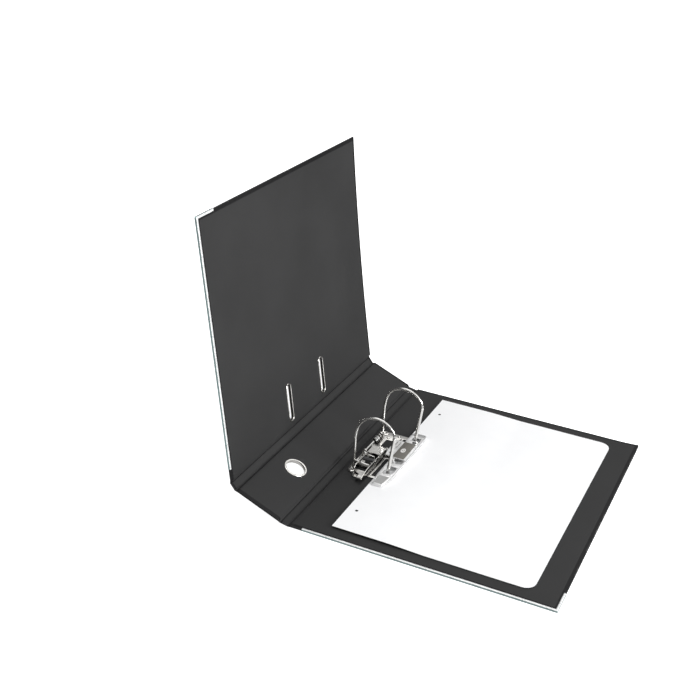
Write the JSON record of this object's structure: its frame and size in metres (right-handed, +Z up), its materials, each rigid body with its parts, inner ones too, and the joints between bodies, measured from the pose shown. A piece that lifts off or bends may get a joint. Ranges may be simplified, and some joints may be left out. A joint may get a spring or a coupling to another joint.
{
  "type": "lever arch ring binder",
  "caption": "Open black lever arch file: two stiff covers and a spine joined by crease strips, with a lever mechanism, swinging arches, a compressor bar and an index sheet.",
  "frame": {"origin": "centre of the back cover's outer face, which lies on the table", "axes": "+Z up, +X from the spine to the back cover's fore edge, +Y from the bottom edge with the metal protectors to the top edge"},
  "size_m": [0.3964, 0.35, 0.3161],
  "materials": {
    "cover_wrap": "black embossed film, satin",
    "cover_lining": "dark charcoal lining, fine grain, matte",
    "grey_board": "raw grey board",
    "nickel_plate": "polished nickel",
    "bright_edge_strip": "bright rolled nickel strip",
    "roller_plastic": "dark grey moulded",
    "compressor_paint": "light silver grey",
    "lock_plate_grey": "dark warm grey, satin",
    "clear_pocket": "clear film",
    "label_card": "plain white card",
    "index_paper": "plain white card",
    "spring_steel": "plain spring wire"
  },
  "bodies": {
    "back_cover": {"back_cover_wrap": "cover_wrap", "back_cover_board": "grey_board", "back_cover_lining": "cover_lining", "back_edge_protector": "bright_edge_strip", "base_plate": "nickel_plate", "rivet_lower_left": "nickel_plate", "rivet_upper_left": "nickel_plate", "rivet_lower_right": "nickel_plate", "rivet_upper_right": "nickel_plate", "post_lower": "nickel_plate", "post_upper": "nickel_plate", "lever_pivot_pin": "nickel_plate", "arch_spring": "spring_steel", "index_sheet": "index_paper"},
    "rear_crease": {"rear_hinge_strip": "cover_lining"},
    "spine": {"spine_wrap": "cover_wrap", "spine_board": "grey_board", "spine_lining": "cover_lining", "finger_ring": "nickel_plate", "finger_ring_washer": "nickel_plate", "label_pocket": "clear_pocket", "spine_label": "label_card"},
    "front_crease": {"front_hinge_strip": "cover_lining"},
    "front_cover": {"front_cover_wrap": "cover_wrap", "front_cover_board": "grey_board", "front_cover_lining": "cover_lining", "front_edge_protector": "bright_edge_strip", "slot_eyelet_lower": "nickel_plate", "slot_eyelet_upper": "nickel_plate"},
    "lever": {"lever_handle": "nickel_plate", "roller_pin": "nickel_plate"},
    "roller": {"lever_roller": "roller_plastic"},
    "arches": {"arch_wire": "nickel_plate"},
    "compressor": {"compressor_bar": "compressor_paint", "lock_plate_pin": "nickel_plate", "lock_plate_spring": "spring_steel"},
    "lock_plate": {"compressor_lock_plate": "lock_plate_grey"}
  },
  "joints": [
    {"name": "rear_fold", "type": "hinge", "parent": "back_cover", "child": "spine", "pos_m": [-0.14792, 0, 0.00209], "axis": [0, -1, 0], "range_deg": [-68, 22]},
    {"name": "rear_strip_fold", "type": "hinge", "parent": "back_cover", "child": "rear_crease", "pos_m": [-0.144, 0, 0], "axis": [0, -1, 0], "range_deg": [-34, 11]},
    {"name": "front_fold", "type": "hinge", "parent": "spine", "child": "front_cover", "pos_m": [-0.20989, 0, 0.02689], "axis": [0, -1, 0], "range_deg": [-30, 60]},
    {"name": "front_strip_fold", "type": "hinge", "parent": "spine", "child": "front_crease", "pos_m": [-0.20705, 0, 0.02372], "axis": [0, -1, 0], "range_deg": [-15, 30]},
    {"name": "lever_lift", "type": "hinge", "parent": "back_cover", "child": "lever", "pos_m": [-0.1188, 0.004, 0.0086], "axis": [-1, 0, 0], "range_deg": [0, 90]},
    {"name": "roller_spin", "type": "hinge", "parent": "lever", "child": "roller", "pos_m": [-0.1188, -0.028, 0.0107], "axis": [-1, 0, 0], "continuous": true},
    {"name": "arch_swing", "type": "hinge", "parent": "back_cover", "child": "arches", "pos_m": [-0.1316, 0, 0.0085], "axis": [0, -1, 0], "range_deg": [0, 45]},
    {"name": "compressor_slide", "type": "slide", "parent": "back_cover", "child": "compressor", "axis": [0.1115, 0, 0.9938], "range_m": [0, 0.034]},
    {"name": "lock_tilt", "type": "hinge", "parent": "compressor", "child": "lock_plate", "pos_m": [-0.094, 0, 0.0122], "axis": [0, -1, 0], "range_deg": [0, 12]}
  ],
  "couplings": [
    {"joint": "rear_strip_fold", "follows": "rear_fold", "ratio": 0.5},
    {"joint": "front_strip_fold", "follows": "front_fold", "ratio": 0.5},
    {"joint": "arch_swing", "follows": "lever_lift", "ratio": 0.5}
  ]
}
